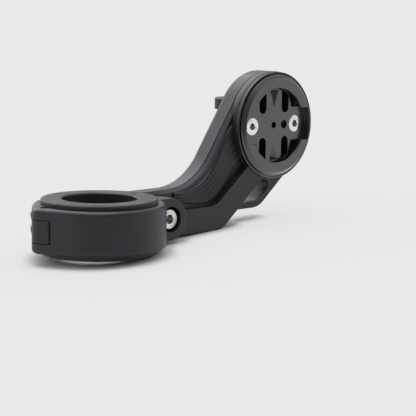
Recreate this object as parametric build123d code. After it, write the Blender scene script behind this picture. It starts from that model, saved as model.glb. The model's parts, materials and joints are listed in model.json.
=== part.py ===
from build123d import *
from math import acos, atan2, cos, degrees, hypot, radians, sin, tan
import os

os.makedirs("parts", exist_ok=True)

# Frame: origin at the clamp bore's middle, Z along the bore, X towards the head, -Y where the head faces

# Clamp ring, sized outwards from the bar
bar_r = 12.7
shim_wall = 3.7
crest_rise = 0.7
crest_gap = 0.4
ring_wall = 5.0
ring_half = 7.5
ring_edge = 1.5
split_y = 1.0
split_gap = 0.5
shim_r = bar_r + shim_wall
bore_r = shim_r + crest_rise + crest_gap
ring_r = bore_r + ring_wall
root_x = bore_r - 1.5

# Grip ribs behind the ring
grip_rise = 0.6
grip_tall = 3.6
grip_pitch = 4.7
grip_from, grip_sweep = 48, 100

# Hinge
pin_r = 1.4
pin_sunk = 0.5
pin_angle = 172.25
knuckle_r = 4.1
lobe_reach = 1.2
lobe_gap = 0.7
knuckle_half = 3.7
knuckle_gap = 0.35
side_gap = 0.25
pin_fit = 0.02
pin_run = 0.06
pin_half = ring_half - pin_sunk
pin_reach = bore_r + knuckle_r - 0.1
pin_at = (pin_reach * cos(radians(pin_angle)), pin_reach * sin(radians(pin_angle)))
lobe_r = knuckle_r + lobe_reach

# Handlebar shim
crest_pitch = ring_half * 0.61
crest_half = ring_half * 0.24
crest_top = ring_half * 0.09
flange_lip = 2.25
flange_thick = 1.55
flange_gap = 0.1
flange_edge = 0.4
lap_wall = 2.3
slit = 0.4
lap_from, lap_to = -7.0, 6.0
flange_r = bore_r + flange_lip
lap_r = bar_r + lap_wall

# Clamp bolt and its ear
bolt_out = 3.9
ear_r = ring_half - 0.1
ear_front = -7.2
ear_edge = 0.7
ear_gap = 0.5
ear_seat = 0.15
bolt_r = 1.95
bolt_head_r = 3.5
bolt_head_len = 4.0
bolt_sunk = 0.8
bolt_len = 10.4
bolt_hex = 3.0
bolt_hex_deep = 2.2
bolt_slide = 0.1
counterbore_gap = 0.95
insert_wall = 1.05
insert_len = 7.0
thread_play = 0.3
bolt_x = ring_r + bolt_out
insert_bore = bolt_r + thread_play
insert_r = bolt_r + insert_wall
insert_from = split_y + 0.3

# Arm, in side view (x, z)
arm_front = 0.6
arm_thick = 8.4
low_bend_x = 56.5
low_angle = 39.2
top_bend_x = 45.4
root_drop = 0.2
low_bend_r, top_bend_r = 8.0, 24.0
bevel = 1.2
root_gap = 0.3
band_wide = 8.7
band_rise = 3.0
band_edge = 0.35
rear_round = 1.6
arm_back = arm_front + arm_thick
ear_floor = arm_front + ear_seat
arm_low = 0.4 - ring_half
arm_top = ring_half + flange_gap + flange_thick - root_drop
low_bend = (low_bend_x, arm_low)
top_bend = (top_bend_x, arm_top)
band_front = arm_front - band_rise

# Ribs between the flat band and the arm's top edge
rib_count = 5
rib_rise = 0.75
rib_sink = 0.1
rib_inset = 1.84
rib_thin, rib_wide = 0.56, 2.11
rib_turn_low, rib_turn_top = 12.0, 20.0
rib_start_x = bolt_x + ear_r + 0.4
rib_start_low = arm_low + band_wide + 0.7
rib_start_top = arm_top - bevel + 0.3

# Head and its socket insert, sized outwards from the lugs the socket takes
head_at = (83.2, 29.0)
lug_r = 16.2
lip_reach = 2.5
face_wall = 1.0
rim_reach = 1.4
rim_drop = 1.3
groove_wide = 0.5
groove_deep = 0.9
collar_wide = 0.5
collar_drop = 1.7
head_lip = 0.15
head_rise = 1.5
plug_inset = 1.2
cap_gap = 0.3
floor_thick = 2.3
socket_deep = 2.6
lip_thick = 1.2
edge = 0.3
notch_half = 6.1
notch_reach = 0.8
slot_wide = 3.65
slot_inset = 5.9
slot_from = 4.4
pocket_step = 1.4
pocket_z = 6.4
pocket_deep = 1.3
dimple_r = 1.2
detent_in = 6.8
detent_half = 2.2
detent_deep = 1.5
lip_r = lug_r - lip_reach
face_r = lug_r + face_wall
rim_r = face_r + rim_reach
groove_r = rim_r + groove_wide
cap_r = groove_r + collar_wide
head_r = cap_r + head_lip
plug_r = cap_r - plug_inset
head_front = arm_front - head_rise
floor_y = arm_front - floor_thick
cap_front = floor_y - socket_deep
slot_out = lip_r - slot_inset
slot_in = slot_out - slot_wide
pocket_x = slot_out + pocket_step
detent_out = lip_r - 0.7

# Screws through the head
screw_inset = 4.8
screw_r = 1.5
screw_head_r = 3.15
screw_hex = 2.2
screw_hex_deep = 1.3
screw_proud = 0.5
hole_fit = 0.1
lock_inset = 5.95
lock_r = 1.45
lock_len = 3.9
lock_sunk = 0.9
lock_hex = 1.5
screw_x = lug_r - screw_inset
lock_x = screw_x - lock_inset
lock_top = floor_y + lock_sunk
lock_end = lock_top + lock_len

# Hollow behind the insert
recess_inset = 1.6
recess_deep = 2.2
post_wall = 2.7
lock_post_wall = 1.4

# Loop under the head
loop_inset = 0.9
loop_wide = 10.2
loop_rim = 2.4
loop_rise = 5.5
loop_corner = 9.0
loop_end = 6.0
loop_end_angle = -24
loop_end_short = 2.5
loop_edge = 0.5
slot_corner = 2.0
slot_root = 0.8
slot_short_in, slot_short_out = 18.0, 9.8
loop_low = arm_low + loop_rise

# Camera fingers
finger_out = 9.7
finger_r = 7.5
finger_thick = 3.0
finger_pitch = 6.2
finger_hole = 2.6
nut_side_extra = 1.2
base_thick = 2.1
tab_thick = 3.6
tab_r = 4.8
screw_nut_flat, screw_nut_len = 5.5, 2.4
camera_nut_flat, camera_nut_len = 8.0, 2.7
nut_fit = 0.05
nut_gap = 0.1
finger_y = arm_back + finger_out
base_top = arm_back + base_thick
tab_top = arm_back + tab_thick
screw_end = tab_top + screw_proud

# Longer than any cut needs to be
through = 4 * ring_r


def upright(r, z0, z1, at=(0, 0)):
    return Pos(at[0], at[1], z0) * Cylinder(r, z1 - z0, align=(Align.CENTER, Align.CENTER, Align.MIN))


def upright_cut(r, at=(0, 0)):
    return upright(r, -through, through, at)


def along_y(r, y0, y1, at=(0, 0)):
    return slab(Circle(r), y0, y1, at)


def slab(face, y0, y1, at=(0, 0)):
    side = Plane(origin=(at[0], y1, at[1]), x_dir=(1, 0, 0), z_dir=(0, -1, 0))
    return extrude(side * face, amount=y1 - y0)


def block(x, y, z):
    return Pos(x[0], y[0], z[0]) * Box(x[1] - x[0], y[1] - y[0], z[1] - z[0], align=(Align.MIN,) * 3)


def outline(corners):
    """A face from (x, z, radius) corners."""
    shape = make_face(Polyline(*[c[:2] for c in corners], close=True))
    for x, z, r in corners:
        if r:
            shape = fillet(shape.vertices().sort_by_distance((x, z, 0))[0], r)
    return shape


def toward(start, angle, dist):
    return (start[0] + dist * cos(radians(angle)), start[1] + dist * sin(radians(angle)))


def between(a, b, t):
    return tuple(p + (q - p) * t for p, q in zip(a, b))


def beside_head(x):
    return (head_at[0] + x, head_at[1])


def rim_edges(solid, y):
    return solid.edges().filter_by_position(Axis.Y, y - 0.01, y + 0.01)


# Clamp ring: both halves come from one filleted band that runs round the bore and the hinge
def ring_band():
    lean = degrees(acos((ring_r - knuckle_r) / pin_reach))
    flanks = [toward((0, 0), pin_angle - lean, ring_r), toward(pin_at, pin_angle - lean, knuckle_r),
              toward(pin_at, pin_angle + lean, knuckle_r), toward((0, 0), pin_angle + lean, ring_r)]
    shape = Circle(ring_r) + Pos(*pin_at) * Circle(knuckle_r) + make_face(Polyline(*flanks, close=True))
    band = extrude(Pos(0, 0, -ring_half) * shape, amount=2 * ring_half)
    return fillet(band.faces().filter_by(Axis.Z).edges(), ring_edge) - upright_cut(bore_r)


def split_region(y, side):
    """All that lies on one side of the split: it runs flat to the bolt and straight to the hinge pin."""
    corners = [(0, y), (through, y), (through, side * through), (-through, side * through),
               toward((0, 0), pin_angle, through), toward((0, 0), pin_angle, pin_reach / 2)]
    return Pos(0, 0, -through) * extrude(make_face(Polyline(*corners, close=True)), amount=2 * through)


def grip_ribs():
    inside = ring_r - grip_rise
    low, high = -grip_tall, 0
    lip = high - grip_rise / 2
    profile = Polyline((inside, low), (ring_r, low), (ring_r + grip_rise, lip), (ring_r, high), (inside, high),
                       close=True)
    rib = revolve(Plane.XZ * make_face(profile), Axis.Z, grip_sweep)
    return [Pos(0, 0, z - edge) * Rot(0, 0, grip_from) * rib for z in (0, grip_pitch)]


outer_zones = [(knuckle_half, through), (-through, -knuckle_half)]
door_zones = [(knuckle_half + side_gap, ring_half), (-ring_half, -knuckle_half - side_gap)]


# Arm outline in side view: a straight root, two bends and the round head
def low_line(offset, dist):
    """A point beside the arm's lower edge: offset outwards, dist up from the low bend."""
    start = toward(low_bend, low_angle - 90, offset)
    return toward(start, low_angle, dist)


def low_line_at(offset, z):
    """The point of that line at a given height."""
    start = low_line(offset, 0)
    return toward(start, low_angle, (z - start[1]) / sin(radians(low_angle)))


def head_foot():
    """How far up the lower edge the head's middle lies."""
    dx, dz = head_at[0] - low_bend[0], head_at[1] - low_bend[1]
    return dx * cos(radians(low_angle)) + dz * sin(radians(low_angle))


def head_tangent():
    dx, dz = head_at[0] - top_bend[0], head_at[1] - top_bend[1]
    far = hypot(dx, dz)
    along = (far**2 - head_r**2) ** 0.5
    return toward(top_bend, degrees(atan2(dz, dx) + atan2(head_r, along)), along)


def arm_plate():
    shape = outline([(root_x, arm_low, 0), (*low_bend, low_bend_r), (*low_line(0, head_foot()), 0), (*head_at, 0),
                     (*head_tangent(), 0), (*top_bend, top_bend_r), (root_x, arm_top, 0)])
    plate = slab(shape + Pos(*head_at) * Circle(head_r), arm_front, arm_back)
    plate = fillet(rim_edges(plate, arm_back).filter_by_position(Axis.X, bore_r, through + head_at[0]), rear_round)
    top = [e for e in rim_edges(plate, arm_front) if e.center().X < head_tangent()[0] and e.center().Z > arm_top - 1]
    return chamfer(top, bevel)


def band_corner():
    """Where the flat band's upper edge turns up."""
    crease = toward(low_bend, low_angle + 90, band_wide)
    corner_z = arm_low + band_wide
    return toward(crease, low_angle, (corner_z - crease[1]) / sin(radians(low_angle)))


def flat_band():
    corner = band_corner()
    shape = outline([(bolt_x, arm_low, 0), (*low_bend, low_bend_r), (*low_line(0, head_foot()), 0),
                     (*low_line(-band_wide, head_foot()), 0), (*corner, low_bend_r), (bolt_x, corner[1], 0)])
    band = slab(shape, band_front, arm_front + edge)
    return chamfer(rim_edges(band, band_front), band_edge)


# Ribs: each is lofted through ellipses that grow as the family fans out towards the head
def rib(index):
    t = (index + 0.5) / rib_count
    start = (rib_start_x, rib_start_low + (rib_start_top - rib_start_low) * t)
    turn = between(toward(band_corner(), 130, rib_inset), toward(top_bend, -60, rib_inset + bevel), t)
    end = toward(head_at, 226 - 52 * t, face_r)
    inward = degrees(atan2(turn[1] - start[1], turn[0] - start[0]))
    onward = degrees(atan2(end[1] - turn[1], end[0] - turn[0]))
    swing = radians(onward - inward) / 2
    radius = rib_turn_low + (rib_turn_top - rib_turn_low) * t
    cut = radius * tan(swing)
    sag = radius / cos(swing) - radius
    leave = toward(turn, onward, cut)
    stations = [
        (start, inward, 0.0),
        (toward(turn, inward + 180, cut), inward, 0.25),
        (toward(turn, (inward + onward) / 2 + 90, sag), (inward + onward) / 2, 0.45),
        (leave, onward, 0.6),
        (end, onward, 1.0),
    ]
    sections = []
    for (x, z), angle, grow in stations:
        a = radians(angle)
        wide = rib_thin + (rib_wide - rib_thin) * grow**1.4
        cut_plane = Plane(origin=(x, arm_front + rib_sink, z), x_dir=(-sin(a), 0, cos(a)), z_dir=(cos(a), 0, sin(a)))
        sections.append(cut_plane * Ellipse(wide, rib_rise + rib_sink))
    return loft(sections)


# Loop: a rounded plate with an oblong slot, set back from the flat band
def loop_plate():
    outer = outline([(low_bend_x + loop_end, loop_low, 0), (*low_line_at(loop_wide, loop_low), loop_corner),
                     (*low_line(loop_wide, head_foot() - loop_end_short), loop_end),
                     (*toward(head_at, loop_end_angle, rim_r), 0), (*head_at, 0)])
    inner = loop_wide - loop_rim
    floor_z = loop_low + loop_rim
    slot = outline([(*low_line_at(slot_root / 2, floor_z), slot_root), (*low_line_at(inner, floor_z), loop_end),
                    (*low_line(inner, head_foot() - slot_short_out), slot_corner),
                    (*low_line(slot_root / 2, head_foot() - slot_short_in), slot_root)])
    plate = slab(outer, arm_front + loop_inset, arm_back - loop_inset)
    low_rim = rim_edges(plate, arm_front + loop_inset).filter_by_position(Axis.Z, -through, head_at[1] - 0.78 * head_r)
    return fillet(low_rim, loop_edge) - slab(slot, -through, through)


def recess():
    hollow = along_y(lug_r - recess_inset, -through, arm_front + recess_deep, head_at)
    for x in (-screw_x, screw_x):
        hollow = hollow - along_y(screw_r + post_wall, -2 * through, through, beside_head(x))
    return hollow - along_y(lock_r + lock_post_wall, -2 * through, through, beside_head(lock_x))


def arm_body():
    notch = along_y(ear_r + ear_gap, -through, ear_floor, (bolt_x, 0))
    seat = along_y(cap_r + cap_gap, -through, head_front, head_at)
    seat = seat + along_y(plug_r + hole_fit, -through, arm_front, head_at)
    collar = along_y(head_r, head_front, arm_front + bevel + edge, head_at) - seat
    front = flat_band() - notch - seat
    ribs = [rib(i) - seat for i in range(rib_count)]
    ring = (ring_band() + grip_ribs()) & split_region(split_y, 1)
    ring = ring - [upright(knuckle_r + knuckle_gap, z0, z1, pin_at) for z0, z1 in outer_zones]
    ring = ring + (ring_band() & upright(lobe_r, -knuckle_half, knuckle_half, pin_at))
    loop = loop_plate() - along_y(face_r, -through, through, head_at)
    body = arm_plate() + collar + front + ribs + ring + loop
    body = body - upright(flange_r + root_gap, ring_half, through)
    body = body - notch - block((0, bolt_x), (-through, ear_floor), (-through, through)) - upright_cut(bore_r)
    body = body - upright_cut(pin_r + pin_fit, pin_at)
    body = body - along_y(insert_r + pin_fit, -through, insert_from + insert_len, (bolt_x, 0)) - recess()
    for x in (-screw_x, screw_x):
        body = body - along_y(screw_r + hole_fit, -through, through, beside_head(x))
    return body - along_y(lock_r + pin_fit, -through, lock_end, beside_head(lock_x))


# Door: front half of the ring, its outer knuckles and the ear that carries the bolt
def clamp_door():
    ring = ring_band() & split_region(split_y - split_gap, -1)
    knuckles = [ring_band() & upright(knuckle_r, z0, z1, pin_at) for z0, z1 in door_zones]
    middle = knuckle_half + side_gap
    web = bolt_x - root_x
    ear = Circle(ear_r) + Pos(-web / 2, 0) * Rectangle(web, 2 * ear_r)
    ear = slab(ear, ear_front, split_y - split_gap, (bolt_x, 0))
    ear = fillet(rim_edges(ear, ear_front).filter_by_position(Axis.X, ring_r - ring_edge, through), ear_edge)
    door = ring + knuckles + ear - upright(lobe_r + lobe_gap, -middle, middle, pin_at) - upright_cut(bore_r)
    door = door - upright_cut(pin_r + pin_run, pin_at)
    seat_y = ear_front + bolt_sunk + bolt_head_len
    door = door - along_y(bolt_head_r + counterbore_gap, -through, seat_y, (bolt_x, 0))
    return door - along_y(bolt_r + bolt_slide, -through, through, (bolt_x, 0))


def hinge_pin():
    pin = upright(pin_r, -pin_half, pin_half, pin_at)
    return chamfer(pin.edges().filter_by(GeomType.CIRCLE), edge)


def hex_pit(flat, y0, y1, at):
    return slab(RegularPolygon(flat / 2, 6, major_radius=False), y0, y1, at)


def clamp_bolt():
    top = ear_front + bolt_sunk
    under = top + bolt_head_len
    head = along_y(bolt_head_r, top, under, (bolt_x, 0))
    head = chamfer(rim_edges(head, top), edge)
    shank = along_y(bolt_r, under, under + bolt_len, (bolt_x, 0))
    shank = chamfer(rim_edges(shank, under + bolt_len), edge)
    return head + shank - hex_pit(bolt_hex, top, top + bolt_hex_deep, (bolt_x, 0))


def thread_insert():
    sleeve = along_y(insert_r, insert_from, insert_from + insert_len, (bolt_x, 0))
    return sleeve - along_y(insert_bore, -through, through, (bolt_x, 0))


# Shim: a revolved sleeve with three crests and two flanges, split by a stepped lap
def bar_shim():
    inner = ring_half + flange_gap
    top = inner + flange_thick
    flange = [(bar_r, top - flange_edge), (bar_r + flange_edge, top), (flange_r - flange_edge, top),
              (flange_r, top - flange_edge), (flange_r, inner), (shim_r, inner)]
    crest = [(shim_r, -crest_half), (shim_r + crest_rise, -crest_top), (shim_r + crest_rise, crest_top),
             (shim_r, crest_half)]
    crests = [(x, z + k * crest_pitch) for k in (-1, 0, 1) for x, z in crest]
    profile = Polyline(*[(x, -z) for x, z in flange], *crests, *flange[::-1], close=True)
    sleeve = revolve(Plane.XZ * make_face(profile), Axis.Z)
    tall = (-through, through)
    lap = Rot(0, 0, lap_from) * block((bar_r / 2, lap_r), (-slit / 2, slit / 2), tall)
    lap = lap + Rot(0, 0, lap_to) * block((lap_r, flange_r + slit), (-slit / 2, slit / 2), tall)
    band = upright_cut(lap_r + slit / 2) - upright_cut(lap_r - slit / 2)
    wedge = Polyline((0, 0), toward((0, 0), lap_from, through), toward((0, 0), lap_to, through), close=True)
    return sleeve - lap - (band & Pos(0, 0, -through) * extrude(make_face(wedge), amount=2 * through))


# Socket insert: a revolved cap with a lug ring, cut by notches, tongues, pockets and detents
def socket_cap():
    lip_back = cap_front + lip_thick
    collar_front = cap_front + collar_drop
    groove_floor = collar_front + groove_deep
    profile = Polyline((0, arm_front), (0, floor_y), (lug_r, floor_y), (lug_r, lip_back), (lip_r, lip_back),
                       (lip_r, cap_front + edge), (lip_r + edge, cap_front), (face_r, cap_front),
                       (rim_r, cap_front + rim_drop), (rim_r, groove_floor), (groove_r, groove_floor),
                       (groove_r, collar_front), (cap_r, collar_front), (cap_r, head_front),
                       (plug_r, head_front), (plug_r, arm_front), close=True)
    return Pos(head_at[0], 0, head_at[1]) * revolve(make_face(profile), Axis.Y)


def socket_insert():
    body = socket_cap()
    whole = (-through, through + head_at[0])
    notch = along_y(lug_r + notch_reach, cap_front - 1, floor_y, head_at)
    body = body - (notch & block(whole, whole, (head_at[1] - notch_half, head_at[1] + notch_half)))
    inside = along_y(lip_r, -through, through, head_at)
    for sx in (-1, 1):
        for sz in (-1, 1):
            at = (head_at[0] + sx * (slot_in + slot_out) / 2, head_at[1] + sz * (slot_from + slot_wide / 2))
            slot = along_y(slot_wide / 2, floor_y - edge, through, at)
            slot = slot + slab(Rectangle(slot_wide, 2 * lip_r), floor_y - edge, through, (at[0], at[1] + sz * lip_r))
            pocket = slab(Rectangle(2 * lug_r, 2 * lug_r), floor_y, floor_y + pocket_deep,
                          (head_at[0] + sx * (pocket_x + lug_r), head_at[1] + sz * (pocket_z + lug_r)))
            body = body - (slot & inside) - (pocket & along_y(lug_r, -through, through, head_at))
        body = body - detent(sx)
        body = body - sunk_cone(screw_head_r + hole_fit, screw_r + hole_fit, floor_y, beside_head(sx * screw_x))
        body = body - along_y(screw_r + hole_fit, -through, through, beside_head(sx * screw_x))
    body = body - along_y(dimple_r, -through, through, head_at)
    return body - along_y(lock_r + hole_fit, -through, through, beside_head(lock_x))


def sunk_cone(r_top, r_end, y, at):
    cone = Cone(r_end, r_top, r_top - r_end, align=(Align.CENTER, Align.CENTER, Align.MAX))
    return Pos(at[0], y, at[1]) * Rot(90, 0, 0) * cone


def detent(side):
    """A three-sided groove that runs out towards the middle."""
    sections = []
    deep = detent_deep / detent_half
    for reach, half in ((detent_out, detent_half), (detent_in, slit / 10)):
        plane = Plane(origin=(head_at[0], floor_y, head_at[1] + side * reach), x_dir=(1, 0, 0), z_dir=(0, 0, -side))
        sections.append(plane * make_face(Polyline((-half, 0), (half, 0), (0, -side * half * deep), close=True)))
    return loft(sections)


def insert_screw(side):
    at = beside_head(side * screw_x)
    head = sunk_cone(screw_head_r, screw_r, floor_y, at)
    shank = along_y(screw_r, floor_y, screw_end, at)
    shank = chamfer(rim_edges(shank, screw_end), edge)
    return head + shank - hex_pit(screw_hex, floor_y - 1, floor_y + screw_hex_deep, at)


def lock_screw():
    plug = along_y(lock_r, lock_top, lock_end, beside_head(lock_x))
    plug = chamfer(rim_edges(plug, lock_top), edge / 2)
    return plug - hex_pit(lock_hex, lock_top, lock_top + lock_hex, beside_head(lock_x))


# Camera fingers: three rounded plates on a base with two screw tabs
def camera_adapter():
    x0, z0 = head_at
    tabs = Pos(-screw_x, 0) * Circle(tab_r) + Pos(screw_x, 0) * Circle(tab_r)
    reach = finger_pitch + finger_thick / 2
    body = slab(tabs, arm_back, tab_top, head_at)
    body = body + slab(Rectangle(2 * screw_x, 2 * tab_r), arm_back, base_top, head_at)
    body = body + slab(Rectangle(2 * finger_r, 2 * reach), arm_back, base_top, head_at)
    for k in (-1, 0, 1):
        low = z0 + k * finger_pitch - finger_thick / 2
        high = low + finger_thick + (nut_side_extra if k == 1 else 0)
        tip = upright(finger_r, low, high, (x0, finger_y))
        tip = tip + block((x0 - finger_r, x0 + finger_r), (arm_back + edge, finger_y), (low, high))
        body = body + chamfer(tip.faces().sort_by(Axis.Z)[-1].edges().filter_by(GeomType.CIRCLE), edge)
    body = body - upright_cut(finger_hole, (x0, finger_y))
    body = body - Pos(x0, finger_y, camera_nut_z()) * nut_body(camera_nut_flat + 2 * nut_fit, through)
    for side in (-1, 1):
        at = beside_head(side * screw_x)
        body = body - along_y(screw_r + hole_fit, -through, through, at)
        body = body - hex_pit(screw_nut_flat + 2 * nut_fit, tab_top - screw_nut_len, through, at)
    return body


def nut_body(flat, tall):
    return extrude(RegularPolygon(flat / 2, 6, major_radius=False), amount=tall)


def camera_nut_z():
    return head_at[1] + finger_pitch + finger_thick / 2 + nut_side_extra - camera_nut_len


def camera_nut():
    nut = nut_body(camera_nut_flat, camera_nut_len - nut_gap) - upright_cut(finger_hole)
    return Pos(head_at[0], finger_y, camera_nut_z()) * nut


def screw_nut(side):
    nut = hex_pit(screw_nut_flat, tab_top - screw_nut_len, tab_top, beside_head(side * screw_x))
    return nut - along_y(screw_r + pin_fit, -through, through, beside_head(side * screw_x))


nodes = {
    "arm_body": arm_body(),
    "clamp_door": clamp_door(),
    "hinge_pin": hinge_pin(),
    "clamp_bolt": clamp_bolt(),
    "thread_insert": thread_insert(),
    "bar_shim": bar_shim(),
    "socket_insert": socket_insert(),
    "insert_screw_left": insert_screw(-1),
    "insert_screw_right": insert_screw(1),
    "lock_screw": lock_screw(),
    "camera_adapter": camera_adapter(),
    "screw_nut_left": screw_nut(-1),
    "screw_nut_right": screw_nut(1),
    "camera_nut": camera_nut(),
}
for name, solid in nodes.items():
    export_step(solid, f"parts/{name}.step")
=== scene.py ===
# Handlebar camera mount: finishes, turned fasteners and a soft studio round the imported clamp, arm and head
import bpy
import json
import math
import numpy as np
from mathutils import Matrix, Vector


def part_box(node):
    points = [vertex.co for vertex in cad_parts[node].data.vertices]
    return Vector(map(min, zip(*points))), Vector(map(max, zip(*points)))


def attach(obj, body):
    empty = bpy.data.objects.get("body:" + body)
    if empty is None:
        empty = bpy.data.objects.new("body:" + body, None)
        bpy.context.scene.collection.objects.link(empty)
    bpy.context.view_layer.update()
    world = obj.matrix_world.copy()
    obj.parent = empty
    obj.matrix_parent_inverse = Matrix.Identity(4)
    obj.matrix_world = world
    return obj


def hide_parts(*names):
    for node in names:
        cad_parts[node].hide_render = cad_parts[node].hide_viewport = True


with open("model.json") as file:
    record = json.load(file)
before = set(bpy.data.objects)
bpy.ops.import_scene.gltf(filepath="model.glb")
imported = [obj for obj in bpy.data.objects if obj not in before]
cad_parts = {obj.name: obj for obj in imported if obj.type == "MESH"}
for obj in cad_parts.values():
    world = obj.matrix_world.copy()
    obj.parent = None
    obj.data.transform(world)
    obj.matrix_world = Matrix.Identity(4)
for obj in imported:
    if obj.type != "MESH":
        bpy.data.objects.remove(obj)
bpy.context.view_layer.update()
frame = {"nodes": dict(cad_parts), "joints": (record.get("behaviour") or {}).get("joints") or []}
print("stage: frame loaded")

mm = 0.001
acrossOf = {"Y": [0, 2], "Z": [0, 1]}  # the coordinates across the axis that a piece is turned about
alongOf = {"Y": 1, "Z": 2}


def placeOf(node, axis="Y"):
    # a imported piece's axis and its two ends along it in mm, rounded off because its mesh is faceted
    low, high = (np.array(corner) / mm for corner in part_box(node))
    at = np.round((low + high) / 2, 2)[acrossOf[axis]]
    start, end = (round(float(corner[alongOf[axis]]), 2) for corner in (low, high))
    return at, start, end


headAt = placeOf("socket_insert")[0]  # x and z of the head's middle

# Camera, fitted to the photograph
cameraSetup = {
    "azimuth": -44.8,  # degrees, 0 looks along +Y
    "elevation": 8.34,
    "roll": 0.69,
    "distance": 520.0,  # mm from the clamp's middle, along the view
    "picture": 416,  # pixels along each side
    "focalPixels": 1550.7,
    "originPixel": (99.5, 224.86),  # where the clamp's middle falls
    "sensor": 36.0,
    "clip": (0.01, 50.0),  # metres
}


def makeCamera(setup):
    # place = the distance back along the view, moved across it until the clamp's middle falls on its pixel
    turn, rise, roll = (math.radians(setup[key]) for key in ("azimuth", "elevation", "roll"))
    back = np.array([math.sin(turn) * math.cos(rise), -math.cos(turn) * math.cos(rise), math.sin(rise)])
    side = np.array([math.cos(turn), math.sin(turn), 0.0])
    up = np.cross(back, side)
    right = math.cos(roll) * side + math.sin(roll) * up
    above = -math.sin(roll) * side + math.cos(roll) * up
    mmPerPixel = setup["distance"] / setup["focalPixels"]
    across, down = (pixel - setup["picture"] / 2 for pixel in setup["originPixel"])
    place = back * setup["distance"] + (above * down - right * across) * mmPerPixel
    lens = bpy.data.cameras.new("photoCamera")
    lens.sensor_width = setup["sensor"]
    lens.lens = setup["focalPixels"] / setup["picture"] * setup["sensor"]
    lens.clip_start, lens.clip_end = setup["clip"]
    holder = bpy.data.objects.new("photoCamera", lens)
    bpy.context.scene.collection.objects.link(holder)
    facing = Matrix((right, above, back)).transposed().to_4x4()
    holder.matrix_world = Matrix.Translation(Vector(place * mm)) @ facing
    bpy.context.scene.camera = holder


makeCamera(cameraSetup)
print("stage: camera")


# Shader helpers: a socket given as a value is linked, and a plain value is set
def setSocket(tree, socket, value):
    if isinstance(value, bpy.types.NodeSocket):
        tree.links.new(value, socket)
    else:
        socket.default_value = value


def addNode(tree, kind, **values):
    # the values name the node's own properties or its input sockets
    node = tree.nodes.new(kind)
    for key, value in values.items():
        if hasattr(node, key) and key not in node.inputs:
            setattr(node, key, value)
        else:
            setSocket(tree, node.inputs[key], value)
    return node


def mathNode(tree, operation, *values, clamp=False):
    node = addNode(tree, "ShaderNodeMath", operation=operation, use_clamp=clamp)
    for socket, value in zip(node.inputs, values):
        setSocket(tree, socket, value)
    return node.outputs["Value"]


def vectorNode(tree, operation, *values):
    # a length or a dot product is one number, the others are vectors
    node = addNode(tree, "ShaderNodeVectorMath", operation=operation)
    for socket, value in zip(node.inputs, values):
        setSocket(tree, socket, value)
    return node.outputs["Value" if operation in ("LENGTH", "DOT_PRODUCT") else "Vector"]


def rangeNode(tree, value, span, to=(0.0, 1.0), unit=1.0):
    # runs from to[0] at the span's start to to[1] at its end, and stays there beyond it
    node = addNode(tree, "ShaderNodeMapRange", Value=value)
    levels = span[0] * unit, span[1] * unit, to[0], to[1]
    for label, level in zip(("From Min", "From Max", "To Min", "To Max"), levels):
        node.inputs[label].default_value = level
    return node.outputs["Result"]


def mixColour(tree, amount, low, high):
    # the node has sockets of one name for each kind of data, so its colours go by number
    mix = addNode(tree, "ShaderNodeMix", data_type="RGBA")
    setSocket(tree, mix.inputs[0], amount)
    for socket, colour in ((mix.inputs[6], low), (mix.inputs[7], high)):
        plain = not isinstance(colour, bpy.types.NodeSocket)
        setSocket(tree, socket, (*colour, 1) if plain else colour)
    return mix.outputs[2]


def noiseAt(tree, position, size, kind):
    # noise whose cells are about size mm across
    scale = mathNode(tree, "DIVIDE", 1 / mm, size)
    noise = addNode(tree, "ShaderNodeTexNoise", Vector=position, Scale=scale, Detail=kind["detail"],
                    Roughness=kind["rough"])
    return noise.outputs[0]


def farFrom(tree, offset, axis):
    # distance from an axis = length of the offset without its part along the axis
    across = [float(index in acrossOf[axis]) for index in range(3)]
    return vectorNode(tree, "LENGTH", vectorNode(tree, "MULTIPLY", offset, across))


def seenRays(tree):
    # 1 for what the camera sees straight, and 1 for that or for what gloss and glass show of it
    path = tree.nodes.new("ShaderNodeLightPath").outputs
    shown = mathNode(tree, "MAXIMUM", path["Is Glossy Ray"], path["Is Transmission Ray"])
    return path["Is Camera Ray"], mathNode(tree, "MAXIMUM", path["Is Camera Ray"], shown)


def newMaterial(name):
    material = bpy.data.materials.new(name)
    material.use_nodes = True
    tree = material.node_tree
    tree.nodes.clear()
    out = tree.nodes.new("ShaderNodeOutputMaterial")
    shader = tree.nodes.new("ShaderNodeBsdfPrincipled")
    tree.links.new(shader.outputs[0], out.inputs[0])
    coords = tree.nodes.new("ShaderNodeTexCoord").outputs
    return material, tree, shader, coords


def groupShell(name, inputs, outputs):
    # inputs are (label, kind of socket, its value or None), and each output is a number that varies
    group = bpy.data.node_groups.new(name, "ShaderNodeTree")
    for label, kind, value in inputs:
        socket = group.interface.new_socket(name=label, in_out="INPUT", socket_type=kind)
        if value is not None:
            socket.default_value = value
    for label in outputs:
        group.interface.new_socket(name=label, in_out="OUTPUT", socket_type="NodeSocketFloat")
    return group, group.nodes.new("NodeGroupInput").outputs, group.nodes.new("NodeGroupOutput").inputs


# Moulded grain: a fine eroded pit pattern, broad flow patches and a few rubbed spots
grainSetup = {
    "pits": {"size": 0.25, "detail": 3.0, "rough": 0.6},
    "patches": {"size": 9.0, "detail": 2.0, "rough": 0.5, "span": (0.32, 0.68)},
    "rubs": {"share": 0.34, "detail": 4.0, "rough": 0.7, "span": (0.6, 0.74)},  # share of a patch's size
}


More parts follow.
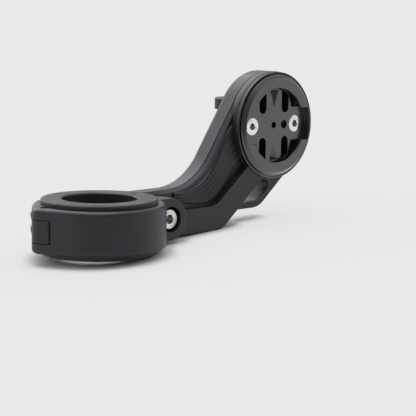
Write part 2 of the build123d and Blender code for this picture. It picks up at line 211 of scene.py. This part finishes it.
def mouldedGrain(setup):
    patches, rubs = setup["patches"], setup["rubs"]
    group, given, gives = groupShell("mouldedGrain", [
        ("Position", "NodeSocketVector", None),
        ("Pit Size", "NodeSocketFloat", setup["pits"]["size"]),
        ("Patch Size", "NodeSocketFloat", patches["size"]),
    ], ["Height", "Patches", "Rubbed"])
    position = given["Position"]
    rubSize = mathNode(group, "MULTIPLY", given["Patch Size"], rubs["share"])
    flow = noiseAt(group, position, given["Patch Size"], patches)
    spots = noiseAt(group, position, rubSize, rubs)
    group.links.new(noiseAt(group, position, given["Pit Size"], setup["pits"]), gives["Height"])
    group.links.new(rangeNode(group, flow, patches["span"]), gives["Patches"])
    group.links.new(rangeNode(group, spots, rubs["span"]), gives["Rubbed"])
    return group


# Turned marks: fine rings about an axis along local Z, with the odd hairline scratch across them
marksSetup = {
    "rings": {"pitch": 0.09, "detail": 3.0},
    "hair": {"cells": (400, 6000, 1500), "detail": 2.0, "span": (0.64, 0.72)},  # cells in a metre
}


def turnedMarks(setup):
    rings, hair = setup["rings"], setup["hair"]
    group, given, gives = groupShell("turnedMarks", [
        ("Position", "NodeSocketVector", None), ("Pitch", "NodeSocketFloat", rings["pitch"]),
    ], ["Rings", "Scratches"])
    pitch = mathNode(group, "MULTIPLY", given["Pitch"], mm)
    turns = mathNode(group, "DIVIDE", farFrom(group, given["Position"], "Z"), pitch)
    marks = addNode(group, "ShaderNodeTexNoise", noise_dimensions="1D", W=turns, Scale=1.0,
                    Detail=rings["detail"])
    stretched = vectorNode(group, "MULTIPLY", given["Position"], hair["cells"])
    lines = addNode(group, "ShaderNodeTexNoise", Vector=stretched, Scale=1.0, Detail=hair["detail"])
    group.links.new(marks.outputs[0], gives["Rings"])
    group.links.new(rangeNode(group, lines.outputs[0], hair["span"]), gives["Scratches"])
    return group


# Edge wear: where a slightly rounded normal leaves the true one there is an edge, broken up by noise
wearSetup = {
    "reach": 0.25, "samples": 4, "match": (0.99, 0.85),
    "breaks": {"size": 1.3, "detail": 3.0, "rough": 0.6, "span": (0.35, 0.65), "to": (0.3, 1.0)},
}


def edgeWear(setup):
    breaks = setup["breaks"]
    group, given, gives = groupShell("edgeWear", [
        ("Position", "NodeSocketVector", None), ("Reach", "NodeSocketFloat", setup["reach"]),
    ], ["Worn"])
    reach = mathNode(group, "MULTIPLY", given["Reach"], mm)
    rounded = addNode(group, "ShaderNodeBevel", samples=setup["samples"], Radius=reach).outputs[0]
    plain = group.nodes.new("ShaderNodeNewGeometry").outputs["Normal"]
    edge = rangeNode(group, vectorNode(group, "DOT_PRODUCT", rounded, plain), setup["match"])
    broken = noiseAt(group, given["Position"], breaks["size"], breaks)
    broken = rangeNode(group, broken, breaks["span"], breaks["to"])
    group.links.new(mathNode(group, "MULTIPLY", edge, broken), gives["Worn"])
    return group


grainGroup = mouldedGrain(grainSetup)
marksGroup = turnedMarks(marksSetup)
wearGroup = edgeWear(wearSetup)


def wearAndPaintedLightColour(tree, mask, look, base, colour):
    # goes from colour to base * gain + lift by the mask's share; used for wear, for the painted highlight on
    # the arm's bevel and for the painted shade in hexagon sockets
    amount = mathNode(tree, "MULTIPLY", mask, look["share"])
    return mixColour(tree, amount, colour, base * look["gain"] + look["lift"])


def wornRough(tree, mask, look, rough):
    # rough + mask * what the look adds
    return mathNode(tree, "MULTIPLY_ADD", mask, look["rough"], rough, clamp=True)


# Moulded plastics: base colour (linear), roughness from polished to dull patches, specular level, grain in mm
blackMoulding = {"colour": (0.0160, 0.0160, 0.0205), "rough": (0.36, 0.46), "specular": 0.5,
                 "tint": (0.95, 0.96, 1.0), "pit": 0.20, "bump": 0.16}
plastics = {
    "armPlastic": {
        **blackMoulding,
        # a hairline across the arm at one level in y, between its half widths, from beyond the clamp ring on
        "parting": {"level": 1.95, "edge": (0.12, 0.24), "start": (26.0, 32.0), "share": 1.0, "gain": 0.3,
                    "lift": 0.0, "rough": 0.5, "sink": 2.0},
        # the bevelled upper front edge, painted paler where it looks up: a painted highlight for the light it
        # catches
        "bevel": {"front": (0.6, 0.75), "back": (1.7, 1.8), "facing": (0.1, 0.3), "start": (26.0, 32.0),
                  "share": 1.0, "gain": 2.4, "lift": 0.03},
    },
    "doorPlastic": blackMoulding,
    "shimPlastic": {"colour": (0.0110, 0.0115, 0.0125), "rough": (0.42, 0.56), "specular": 0.45,
                    "tint": (0.97, 0.98, 1.0), "pit": 0.32, "bump": 0.30},
    "insertPlastic": {
        "colour": (0.0125, 0.0094, 0.0108), "rough": (0.24, 0.30), "specular": 0.8,
        "tint": (1.0, 0.98, 0.98), "pit": 0.16, "bump": 0.05,
        # a clear coat with softened edges; above a height only the face and the rim keep it
        "polish": {"coat": 1.0, "coatRough": 0.16, "soft": 0.3, "samples": 8, "dull": (17.2, 17.6),
                   "rimIn": (18.25, 18.4), "rimOut": (18.65, 18.75), "above": (-9.0, -2.0), "rough": 0.25},
    },
    "fingerPlastic": {"colour": (0.0075, 0.0075, 0.0085), "rough": (0.38, 0.50), "specular": 0.5,
                      "tint": (1.0, 1.0, 1.0), "pit": 0.20, "bump": 0.16},
}
mouldedLook = {
    "patch": (0.85, 1.15),  # shares of the base colour
    "rubbed": {"share": 0.5, "gain": 1.8, "lift": 0.002, "rough": -0.06},
    "worn": {"share": 0.6, "gain": 2.0, "lift": 0.015},
    "grainDepth": 0.1,
}


def partingMask(tree, position, values):
    # 1 where |y - level| is small, from the start in x on
    split = addNode(tree, "ShaderNodeSeparateXYZ", Vector=position).outputs
    off = mathNode(tree, "ABSOLUTE", mathNode(tree, "SUBTRACT", split["Y"], values["level"] * mm))
    band = rangeNode(tree, off, values["edge"], (1.0, 0.0), mm)
    return mathNode(tree, "MULTIPLY", band, rangeNode(tree, split["X"], values["start"], unit=mm))


def bevelMask(tree, coords, values):
    # 1 between two heights in y where the surface looks up, from the start in x on: where the arm's bevel
    # gets its painted highlight
    split = addNode(tree, "ShaderNodeSeparateXYZ", Vector=coords["Object"]).outputs
    facing = addNode(tree, "ShaderNodeSeparateXYZ", Vector=coords["Normal"]).outputs
    front = rangeNode(tree, split["Y"], values["front"], unit=mm)
    back = rangeNode(tree, split["Y"], values["back"], (1.0, 0.0), mm)
    slant = mathNode(tree, "MULTIPLY", rangeNode(tree, facing["Z"], values["facing"]),
                     rangeNode(tree, split["X"], values["start"], unit=mm))
    return mathNode(tree, "MULTIPLY", mathNode(tree, "MULTIPLY", front, back), slant)


def dullMask(tree, position, values):
    # 1 beyond the face and above a height, apart from the band between the rim's two radii
    offset = vectorNode(tree, "SUBTRACT", position, (headAt[0] * mm, 0, headAt[1] * mm))
    far = farFrom(tree, offset, "Y")
    height = addNode(tree, "ShaderNodeSeparateXYZ", Vector=offset).outputs["Z"]
    rim = mathNode(tree, "SUBTRACT", rangeNode(tree, far, values["rimIn"], unit=mm),
                   rangeNode(tree, far, values["rimOut"], unit=mm))
    upper = mathNode(tree, "MULTIPLY", rangeNode(tree, height, values["above"], unit=mm),
                     mathNode(tree, "SUBTRACT", 1.0, rim))
    return mathNode(tree, "MULTIPLY", upper, rangeNode(tree, far, values["dull"], unit=mm))


def plastic(name):
    values, look = plastics[name], mouldedLook
    material, tree, shader, coords = newMaterial(name)
    position, base = coords["Object"], np.array(values["colour"])
    grain = addNode(tree, "ShaderNodeGroup", node_tree=grainGroup, Position=position,
                    **{"Pit Size": values["pit"]}).outputs
    wear = addNode(tree, "ShaderNodeGroup", node_tree=wearGroup, Position=position).outputs
    dark, pale = (base * share for share in look["patch"])
    colour = mixColour(tree, grain["Patches"], dark, pale)
    colour = wearAndPaintedLightColour(tree, grain["Rubbed"], look["rubbed"], base, colour)
    colour = wearAndPaintedLightColour(tree, wear["Worn"], look["worn"], base, colour)
    rough = rangeNode(tree, grain["Patches"], (0.0, 1.0), values["rough"])
    rough = wornRough(tree, grain["Rubbed"], look["rubbed"], rough)
    height = grain["Height"]
    # painted highlight: the arm's up-facing bevel is made paler to stand in for the light it catches
    if "bevel" in values:
        colour = wearAndPaintedLightColour(tree, bevelMask(tree, coords, values["bevel"]), values["bevel"], base, colour)
    if "parting" in values:
        line = partingMask(tree, position, values["parting"])
        colour = wearAndPaintedLightColour(tree, line, values["parting"], base, colour)
        rough = wornRough(tree, line, values["parting"], rough)
        height = mathNode(tree, "MULTIPLY_ADD", line, -values["parting"]["sink"], height)
        tree.links.new(line, shader.inputs["Metallic"])  # a gap that gives back no gloss
    bump = addNode(tree, "ShaderNodeBump", Height=height, Strength=values["bump"],
                   Distance=look["grainDepth"] * mm)
    if "polish" in values:
        polish = values["polish"]
        dull = dullMask(tree, position, polish)
        rough = wornRough(tree, dull, polish, rough)
        coat = mathNode(tree, "MULTIPLY", mathNode(tree, "SUBTRACT", 1.0, dull), polish["coat"])
        tree.links.new(coat, shader.inputs["Coat Weight"])
        shader.inputs["Coat Roughness"].default_value = polish["coatRough"]
        soft = addNode(tree, "ShaderNodeBevel", samples=polish["samples"], Radius=polish["soft"] * mm)
        tree.links.new(soft.outputs[0], bump.inputs["Normal"])
    tree.links.new(colour, shader.inputs["Base Color"])
    tree.links.new(rough, shader.inputs["Roughness"])
    tree.links.new(bump.outputs[0], shader.inputs["Normal"])
    shader.inputs["Specular IOR Level"].default_value = values["specular"]
    shader.inputs["Specular Tint"].default_value = (*values["tint"], 1)
    return material


# Metals: colour, roughness range over the turned rings and how strongly the rings show
metals = {
    "screwSteel": {"colour": (0.90, 0.88, 0.84), "rough": (0.10, 0.20), "bump": 0.10},
    "boltSteel": {"colour": (0.84, 0.825, 0.79), "rough": (0.12, 0.24), "bump": 0.12},
    "nutSteel": {"colour": (0.62, 0.61, 0.59), "rough": (0.20, 0.36), "bump": 0.10},
    "blackSteel": {"colour": (0.045, 0.045, 0.048), "rough": (0.28, 0.42), "bump": 0.08},
    "brass": {"colour": (0.66, 0.46, 0.19), "rough": (0.18, 0.34), "bump": 0.12},
}
metalLook = {
    "patch": (0.92, 1.04), "patchSize": 1.6, "ringSpan": (0.35, 0.65), "ringDepth": 0.03,
    "scratch": {"share": 0.5, "gain": 0.6, "lift": 0.0, "rough": 0.12},
    # a punched hexagon is painted darker inside as painted shade in its recess, and made rougher, from this
    # far round its flats
    "pit": {"edge": (-0.02, 0.12), "share": 1.0, "gain": 0.42, "lift": 0.0, "rough": 0.12},
    "worn": {"reach": 0.12, "share": 0.35, "gain": 0.5, "lift": 0.4},
}


def metal(name, kind, at, axis, pit):
    # the rings turn about the piece's own axis, so its coordinates are centred and laid along local Z first
    values, look = metals[kind], metalLook
    material, tree, shader, coords = newMaterial(name)
    position, base = coords["Object"], np.array(values["colour"])
    centre = np.zeros(3)
    centre[acrossOf[axis]] = np.array(at) * mm
    offset = vectorNode(tree, "SUBTRACT", position, centre.tolist())
    local = addNode(tree, "ShaderNodeMapping", Vector=offset,
                    Rotation=(math.pi / 2 if axis == "Y" else 0, 0, 0)).outputs[0]
    marks = addNode(tree, "ShaderNodeGroup", node_tree=marksGroup, Position=local).outputs
    grain = addNode(tree, "ShaderNodeGroup", node_tree=grainGroup, Position=position,
                    **{"Patch Size": look["patchSize"]}).outputs
    wear = addNode(tree, "ShaderNodeGroup", node_tree=wearGroup, Position=position,
                   Reach=look["worn"]["reach"]).outputs
    dark, pale = (base * share for share in look["patch"])
    colour = mixColour(tree, grain["Patches"], dark, pale)
    colour = wearAndPaintedLightColour(tree, marks["Scratches"], look["scratch"], base, colour)
    rough = rangeNode(tree, marks["Rings"], look["ringSpan"], values["rough"])
    # painted shade: the inside of the hexagon socket is darkened to stand in for the shade in the recess
    if pit:
        edge = [pit + reach for reach in look["pit"]["edge"]]
        inside = rangeNode(tree, farFrom(tree, offset, axis), edge, (1.0, 0.0), mm)
        colour = wearAndPaintedLightColour(tree, inside, look["pit"], base, colour)
        rough = wornRough(tree, inside, look["pit"], rough)
    rough = wornRough(tree, marks["Scratches"], look["scratch"], rough)
    colour = wearAndPaintedLightColour(tree, wear["Worn"], look["worn"], base, colour)
    bump = addNode(tree, "ShaderNodeBump", Height=marks["Rings"], Strength=values["bump"],
                   Distance=look["ringDepth"] * mm)
    shader.inputs["Metallic"].default_value = 1.0
    tree.links.new(colour, shader.inputs["Base Color"])
    tree.links.new(rough, shader.inputs["Roughness"])
    tree.links.new(bump.outputs[0], shader.inputs["Normal"])
    return material


nodeFinish = {
    "arm_body": "armPlastic", "clamp_door": "doorPlastic", "bar_shim": "shimPlastic",
    "socket_insert": "insertPlastic", "camera_adapter": "fingerPlastic",
}
for node, name in nodeFinish.items():
    finish = plastic(name)
    for slot in frame["nodes"][node].material_slots:
        slot.material = finish
print("stage: moulded finishes")

# Surfaces of turned pieces: rows of points round an axis, closed to a point or on themselves at the ends
sharpAngle = 38  # degrees between two faces from which their edge is sharp


def makeSkin(name, rows, looped, material):
    # four-sided faces between neighbouring rows, turned outwards where the signed volume comes out negative
    count, ring = rows.shape[:2]
    if looped:
        points = rows.reshape(-1, 3)
        index = np.arange(count * ring).reshape(count, ring)
        index = np.vstack([index, index[:1]])
        fans = np.zeros((0, 3), int)
    else:
        points = np.vstack([rows[0, :1], rows[1:-1].reshape(-1, 3), rows[-1, :1]])
        index = 1 + np.arange((count - 2) * ring).reshape(count - 2, ring)
        first, last = index[0], index[-1]
        fans = np.vstack([np.stack([np.zeros(ring, int), first, np.roll(first, -1)], -1),
                          np.stack([np.full(ring, len(points) - 1), np.roll(last, -1), last], -1)])
    after = np.roll(index, -1, axis=1)
    quads = np.stack([index[:-1], index[1:], after[1:], after[:-1]], -1).reshape(-1, 4)
    corners = points[np.vstack([quads[:, :3], quads[:, [0, 2, 3]], fans])]
    volume = np.einsum("ij,ij->i", corners[:, 0], np.cross(corners[:, 1], corners[:, 2])).sum()
    if volume < 0:
        quads, fans = quads[:, ::-1], fans[:, ::-1]
    mesh = bpy.data.meshes.new(name)
    mesh.from_pydata((points * mm).tolist(), [], quads.tolist() + fans.tolist())
    mesh.polygons.foreach_set("use_smooth", np.ones(len(mesh.polygons), bool))
    mesh.set_sharp_from_angle(angle=math.radians(sharpAngle))
    mesh.materials.append(material)
    piece = bpy.data.objects.new(name, mesh)
    bpy.context.scene.collection.objects.link(piece)
    return piece


def makePiece(name, node, v, parts, angle, at, axis="Y", looped=False, body="arm", pit=0.0):
    # parts are rows of (radius, height); across the axis a point is at + radius * (cos, sin)
    radius, height = (np.vstack(rows) for rows in zip(*parts))
    first, second = at[0] + radius * np.cos(angle), at[1] + radius * np.sin(angle)
    points = np.stack((first, height, second) if axis == "Y" else (first, second, height), -1)
    piece = makeSkin(name, points, looped, metal(name + "Metal", v["metal"], at, axis, pit))
    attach(piece, body)
    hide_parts(node)


def ringAngles(count):
    # equal steps round a full turn
    return np.linspace(0, 2 * math.pi, count, endpoint=False)[None, :]


def hexFactor(angle):
    # how much farther than its flats a hexagon reaches at an angle, with corners at whole sixths of a turn
    return 1 / np.cos(angle % (math.pi / 3) - math.pi / 6)


def offsetRows(radius, height, offsets):
    # a station at (radius + out, height + along, flats) for each (out, along) or (out, along, flats)
    return [(radius + out, height + along, *flats) for out, along, *flats in offsets]


def domeRows(dome, inner, outer, level):
    # level + rise * (x / outer) squared, for radii x across the face
    spread = np.linspace(inner + dome["from"], outer - dome["to"], dome["rows"])
    return [(x, level + dome["rise"] * (x / outer) ** 2) for x in spread]


threadForm = {"rows": 10, "gain": 1.25, "crest": 0.12}  # rows a pitch, and how the V is cut flat


def turned(stations, angle):
    # a row for each (radius, height, flats): flats blends the circle at 0 into a hexagon at 1
    filled = [(*station, 0)[:3] for station in stations]
    radius, height, flats = np.array(filled, float).T[:, :, None]
    return radius * (1 + flats * (hexFactor(angle) - 1)), height + 0 * angle


def thread(start, end, crest, wound, angle):
    # a V that winds once a pitch, with flat crests and roots, running out over the first and last turn
    # its depth is below nought where it is cut outwards from a bore
    pitch = wound["pitch"]
    count = int(abs(end - start) / pitch * threadForm["rows"]) + 1
    height = np.linspace(start, end, count)[:, None]
    wave = np.abs(2 * ((height / pitch - angle / (2 * math.pi)) % 1) - 1)
    depth = np.clip(threadForm["gain"] * wave - threadForm["crest"], 0, 1)
    ends = np.clip(np.minimum(np.abs(height - start), np.abs(height - end)) / pitch, 0, 1)
    return crest - wound["deep"] * depth * ends, height + 0 * angle


def knurl(start, end, radius, ridges, angle):
    # two crossed sets of helical ridges, or straight ones where the lean is 0, faded in at both ends
    height = np.linspace(start, end, ridges["rows"])[:, None]
    twist = ridges["lean"] * (height - start)
    half = ridges["teeth"] / 2
    cut = np.maximum(np.abs(np.sin(half * (angle + twist))), np.abs(np.sin(half * (angle - twist))))
    ends = np.clip(np.minimum(np.abs(height - start), np.abs(height - end)) / ridges["fade"], 0, 1)
    return radius - ridges["deep"] * (1 - cut) * ends, height + 0 * angle

# Screws, turned from the pit outwards. Lists hold (out, along) or (out, along, flats) offsets in mm: pitFloor
# from the hexagon's flats and floor, mouth from the flats and the lip, groove from the flats and the top, rim
# from the head's edge and the top, foot from its edge and underside, neck from the shank and the underside,
# tip from the shank and the end
clampBolt = {
    "slot": "screw_steel", "metal": "boltSteel", "ring": 264,
    "hexFlat": 3.0, "hexDeep": 2.2, "drill": 0.35, "paintedPitShade": 1.02,  # share of the hexagon's half width
    "pitFloor": [(-0.045, 0, 1), (0, -0.1, 1)],
    "mouth": [(0, 0.3, 1), (0.10, 0.12, 0.8), (0.38, 0.02), (0.46, 0)],
    "groove": [(0.92, 0), (1.0, 0.05), (1.06, 0.34), (1.30, 0.34), (1.36, 0.05), (1.44, 0)],
    "headRadius": 3.5, "headLength": 4.0,
    "rim": [(-0.34, 0), (-0.24, 0.03), (-0.10, 0.14), (-0.02, 0.28), (0, 0.4)],
    "knurl": {"from": 0.6, "to": 0.35, "deep": 0.11, "teeth": 44, "lean": 0.0, "rows": 28, "fade": 0.2},
    "foot": [(0, -0.25), (-0.05, -0.08), (-0.15, 0)],
    "shankRadius": 1.95, "neck": [(0.3, 0), (0.08, 0.06), (0, 0.3), (0, 0.8)],
    "wound": {"from": 0.9, "to": 0.35, "deep": 0.36, "pitch": 0.7},
    "tip": [(-0.05, -0.3), (-0.4, 0), (-0.6, 0)], "dish": 0.05,
}
headScrew = {
    "slot": "screw_steel", "metal": "screwSteel", "ring": 96,
    "hexFlat": 2.2, "hexDeep": 1.3, "drill": 0.3, "paintedPitShade": 1.02,
    "pitFloor": [(-0.044, 0, 1), (0, -0.1, 1)],
    "mouth": [(0, 0.32, 1), (0.08, 0.16, 0.8), (0.3, 0.04)],
    "dome": {"from": 0.42, "to": 0.12, "rise": 0.22, "rows": 9},
    "headRadius": 3.15, "headLength": 1.65,  # as long as the cone is deep
    "rim": [(-0.03, 0.03), (0, 0.1), (-0.05, 0.2)],
    "shankRadius": 1.5, "neck": [(0.1, 0.02), (0, 0.2), (0, 1.2)],
    "wound": {"from": 1.4, "to": 0.3, "deep": 0.27, "pitch": 0.5},
    "tip": [(-0.04, -0.25), (-0.3, 0), (-0.45, 0)], "dish": 0.04,
}
lockScrew = {
    "slot": "dark_steel", "metal": "blackSteel", "ring": 72,
    "hexFlat": 1.5, "hexDeep": 1.4, "drill": 0.25, "paintedPitShade": 0.0,
    "pitFloor": [(-0.0375, 0, 1), (0, -0.1, 1)],
    "mouth": [(0, 0.15, 1), (0.1, 0.02, 0.5), (0.2, 0)],
    "headRadius": 1.44, "headLength": 0.0, "rim": [(-0.28, 0), (-0.06, 0.2)],
    "shankRadius": 1.44,
    "wound": {"from": 0.3, "to": 0.5, "deep": 0.24, "pitch": 0.5},
    "tip": [(-0.1, -0.4), (-0.5, 0), (-0.65, 0)], "dish": 0.35,
}


def makeScrew(v, name, node, body="arm"):
    # out of the pit and over the face, down the head's side and neck, along the thread and in over the tip
    angle = ringAngles(v["ring"])
    at, top, end = placeOf(node)
    flats, head, shank, wound = v["hexFlat"] / 2, v["headRadius"], v["shankRadius"], v["wound"]
    floor, under = top + v["hexDeep"], top + v["headLength"]
    crown = offsetRows(flats, top, v.get("groove", []))
    if "dome" in v:
        crown = domeRows(v["dome"], flats, head, top - v["dome"]["rise"])
    lip = crown[0][1] if crown else top
    face = [(0, floor + v["drill"]), *offsetRows(flats, floor, v["pitFloor"]),
            *offsetRows(flats, lip, v["mouth"]), *crown, *offsetRows(head, top, v["rim"])]
    neck = [*offsetRows(head, under, v.get("foot", [])), *offsetRows(shank, under, v.get("neck", []))]
    if "knurl" in v:
        side = knurl(top + v["knurl"]["from"], under - v["knurl"]["to"], head, v["knurl"], angle)
        parts = [turned(face, angle), side, turned(neck, angle)]
    else:
        parts = [turned(face + neck, angle)]
    parts.append(thread(under + wound["from"], end - wound["to"], shank, wound, angle))
    parts.append(turned([*offsetRows(shank, end, v["tip"]), (0, end - v["dish"])], angle))
    makePiece(name, node, v, parts, angle, at, body=body, pit=flats * v["paintedPitShade"])


makeScrew(clampBolt, "clampBolt", "clamp_bolt", "bolt")
makeScrew(headScrew, "headScrewLeft", "insert_screw_left")
makeScrew(headScrew, "headScrewRight", "insert_screw_right")
makeScrew(lockScrew, "lockScrew", "lock_screw")
print("stage: screws")

# Hinge pin: straight, with domed ends and a centre mark. The mark is measured from its axis and end, the rim
# from its side and end
hingePin = {
    "slot": "dark_steel", "metal": "blackSteel", "ring": 72, "radius": 1.4,
    "mark": [(0, -0.14), (0.18, -0.06)],
    "dome": {"from": 0.25, "to": 0.25, "rise": -0.12, "rows": 7},
    "rim": [(-0.08, -0.2), (0, -0.42), (0, -0.9)],
}


def makeHingePin(v, name, node):
    # one end's profile on the hinge's own axis, and the same profile mirrored in height for the other end
    angle = ringAngles(v["ring"])
    hinge = next(joint for joint in frame["joints"] if joint["type"] == "hinge")
    at = [place / mm for place in hinge["pos_m"][:2]]
    end = placeOf(node, "Z")[2]
    cap = [*offsetRows(0, end, v["mark"]), *domeRows(v["dome"], 0, v["radius"], end),
           *offsetRows(v["radius"], end, v["rim"])]
    parts = [turned(cap + [(radius, -height) for radius, height in cap[::-1]], angle)]
    makePiece(name, node, v, parts, angle, at, "Z")


makeHingePin(hingePin, "hingePin", "hinge_pin")

# Brass insert behind the bolt: two cross-knurled bands outside, measured from both ends, and a thread inside
threadInsert = {
    "slot": "brass", "metal": "brass", "ring": 216, "outer": 2.99, "bore": 2.26, "mouth": 0.3, "lead": 0.3,
    "chamfer": [(-0.3, 0), (-0.04, 0.25)],
    "band": (0.5, 3.0), "waist": {"from": 3.2, "deep": 0.22},
    "knurl": {"deep": 0.12, "teeth": 36, "lean": 0.35, "rows": 28, "fade": 0.2},
    "wound": {"pitch": 0.7, "deep": -0.3},
}


def makeThreadInsert(v, name, node):
    # mouth and chamfer, knurled band, waist, and the same again mirrored, then the thread back inside
    angle = ringAngles(v["ring"])
    at, front, back = placeOf(node)
    near, far = v["band"]
    waist, waistFrom = v["outer"] - v["waist"]["deep"], v["waist"]["from"]
    nose = [(v["bore"] + v["mouth"], front), *offsetRows(v["outer"], front, v["chamfer"])]
    tail = [(radius, front + back - height) for radius, height in nose[::-1]]
    parts = [
        turned(nose, angle),
        knurl(front + near, front + far, v["outer"], v["knurl"], angle),
        turned([(waist, front + waistFrom), (waist, back - waistFrom)], angle),
        knurl(back - far, back - near, v["outer"], v["knurl"], angle),
        turned(tail, angle),
        thread(back - v["lead"], front + v["lead"], v["bore"], v["wound"], angle),
    ]
    makePiece(name, node, v, parts, angle, at, looped=True)


makeThreadInsert(threadInsert, "threadInsert", "thread_insert")

# Hexagon nuts: flats cut back by a cone at both faces, thread inside
nutShape = {
    "slot": "screw_steel", "metal": "nutSteel", "ring": 144, "mouth": 0.12, "lead": 0.2,
    # starts at a share of the half width across the flats
    "cone": {"share": 0.95, "slope": 1.73, "length": 0.6, "rows": 9},
}
screwNut = {**nutShape, "flat": 5.5, "bore": 1.53, "wound": {"pitch": 0.5, "deep": -0.25}}
cameraNut = {**nutShape, "flat": 8.0, "bore": 2.45, "wound": {"pitch": 0.8, "deep": -0.15}}


def makeNut(v, name, node, axis="Y"):
    # outside = the smaller of the hexagon's radius and that of a cone which widens from both faces
    angle = ringAngles(v["ring"])
    at, low, high = placeOf(node, axis)
    cone, half, wound = v["cone"], v["flat"] / 2, v["wound"]
    steps = np.linspace(0, cone["length"], cone["rows"])
    height = np.concatenate([low + steps, high - steps[::-1]])[:, None]
    depth = np.minimum(height - low, high - height)
    radius = np.minimum(half * hexFactor(angle), cone["share"] * half + cone["slope"] * depth)
    mouth = v["bore"] - wound["deep"] + v["mouth"]
    parts = [
        (radius, height + 0 * angle),
        turned([(mouth, high)], angle),
        thread(high - v["lead"], low + v["lead"], v["bore"], wound, angle),
        turned([(mouth, low)], angle),
    ]
    makePiece(name, node, v, parts, angle, at, axis, looped=True)


makeNut(screwNut, "screwNutLeft", "screw_nut_left")
makeNut(screwNut, "screwNutRight", "screw_nut_right")
makeNut(cameraNut, "cameraNut", "camera_nut", "Z")
print("stage: pin, insert and nuts")

# Floor: a pale sheet that leans with the mount, which rests on its shim's flange and the arm's low bend
floorSetup = {
    "at": (0.0, -10.337), "tilt": 3.44,  # x and z in mm of a point on the sheet, and degrees
    "lines": 5, "front": 0.27, "rest": 5.0,  # metres to its near edge and to the others
    "pale": 0.83, "ownGlow": 0.8, "shadowReach": 6.5, "open": (0.6, 0.95), "samples": 8,
}


def makeFloor(setup):
    # a square grid turned so that its near edge faces the camera, laid on z = height + slope * x
    turn = math.radians(cameraSetup["azimuth"])
    startX, startZ = (place * mm for place in setup["at"])
    across, away = np.meshgrid(np.linspace(-setup["rest"], setup["rest"], setup["lines"]),
                               np.linspace(-setup["front"], setup["rest"], setup["lines"]))
    x = across * math.cos(turn) - away * math.sin(turn)
    y = across * math.sin(turn) + away * math.cos(turn)
    z = startZ + (x - startX) * math.tan(math.radians(setup["tilt"]))
    grid = np.arange(x.size).reshape(x.shape)
    faces = np.stack([grid[:-1, :-1], grid[:-1, 1:], grid[1:, 1:], grid[1:, :-1]], -1).reshape(-1, 4)
    mesh = bpy.data.meshes.new("floor")
    mesh.from_pydata(np.stack([x, y, z], -1).reshape(-1, 3).tolist(), [], faces.tolist())
    mesh.materials.append(floorPaper(setup))
    floor = bpy.data.objects.new("floor", mesh)
    bpy.context.scene.collection.objects.link(floor)


def floorPaper(setup):
    # away from the mount the sheet shows most of its own paleness, close to it the full soft shadow
    material, tree, shader = newMaterial("floorPaper")[:3]
    pale = (setup["pale"],) * 3 + (1,)
    shader.inputs["Base Color"].default_value = pale
    shader.inputs["Roughness"].default_value = 1.0
    shader.inputs["Specular IOR Level"].default_value = 0.0
    near = addNode(tree, "ShaderNodeAmbientOcclusion", samples=setup["samples"],
                   Distance=setup["shadowReach"] * mm)
    clear = rangeNode(tree, near.outputs["AO"], setup["open"], (0.0, setup["ownGlow"]))
    seen = seenRays(tree)[1]
    glow = addNode(tree, "ShaderNodeEmission", Color=pale)
    mix = addNode(tree, "ShaderNodeMixShader", Fac=mathNode(tree, "MULTIPLY", clear, seen))
    tree.links.new(shader.outputs[0], mix.inputs[1])
    tree.links.new(glow.outputs[0], mix.inputs[2])
    tree.links.new(mix.outputs[0], tree.nodes["Material Output"].inputs[0])
    return material


makeFloor(floorSetup)

# Light: a bright room, dim behind the camera to keep the head's chamfers dark, and two soft boxes that show
# in glossy surfaces only and so leave no shadow
studio = {
    "horizon": 0.98, "zenith": 1.22, "backdrop": 0.83,
    "dim": {"toward": (-0.45, -0.89, 0.1), "span": (0.2, 0.85), "level": 0.25},  # span in cosines
    "boxes": {  # the direction that each stands in, and degrees across
        "backBox": {"from": (0.05, 0.75, 0.66), "spread": 60, "strength": 1.55},
        "topBox": {"from": (-0.08, -0.06, 0.99), "spread": 50, "strength": 1.65},
    },
}


def makeBox(name, values):
    light = bpy.data.lights.new(name, "SUN")
    light.energy = values["strength"]
    light.angle = math.radians(values["spread"])
    lamp = bpy.data.objects.new(name, light)
    bpy.context.scene.collection.objects.link(lamp)
    lamp.visible_diffuse = False
    lamp.matrix_world = Vector(values["from"]).to_track_quat("Z", "Y").to_matrix().to_4x4()


def makeRoom(setup):
    # level = horizon to zenith with height, times the dim share, or the backdrop's own level where it is seen
    world = bpy.data.worlds.new("studio")
    bpy.context.scene.world = world
    world.use_nodes = True
    tree = world.node_tree
    tree.nodes.clear()
    out = tree.nodes.new("ShaderNodeOutputWorld")
    toward = tree.nodes.new("ShaderNodeTexCoord").outputs["Generated"]
    height = addNode(tree, "ShaderNodeSeparateXYZ", Vector=toward).outputs["Z"]
    facing = vectorNode(tree, "DOT_PRODUCT", toward, Vector(setup["dim"]["toward"]).normalized())
    dim = rangeNode(tree, facing, setup["dim"]["span"], (1.0, setup["dim"]["level"]))
    level = rangeNode(tree, height, (0.0, 1.0), (setup["horizon"], setup["zenith"]))
    level = mathNode(tree, "MULTIPLY", level, dim)
    camera, seen = seenRays(tree)
    pale = mathNode(tree, "MULTIPLY", mathNode(tree, "MAXIMUM", dim, camera), setup["backdrop"])
    drop = mathNode(tree, "SUBTRACT", pale, level)
    level = mathNode(tree, "ADD", level, mathNode(tree, "MULTIPLY", drop, seen))
    glow = addNode(tree, "ShaderNodeBackground", Color=(1, 1, 1, 1), Strength=level)
    tree.links.new(glow.outputs[0], out.inputs[0])


for name, values in studio["boxes"].items():
    makeBox(name, values)
makeRoom(studio)
bpy.context.scene.view_settings.view_transform = "Standard"
print("stage: floor and light")
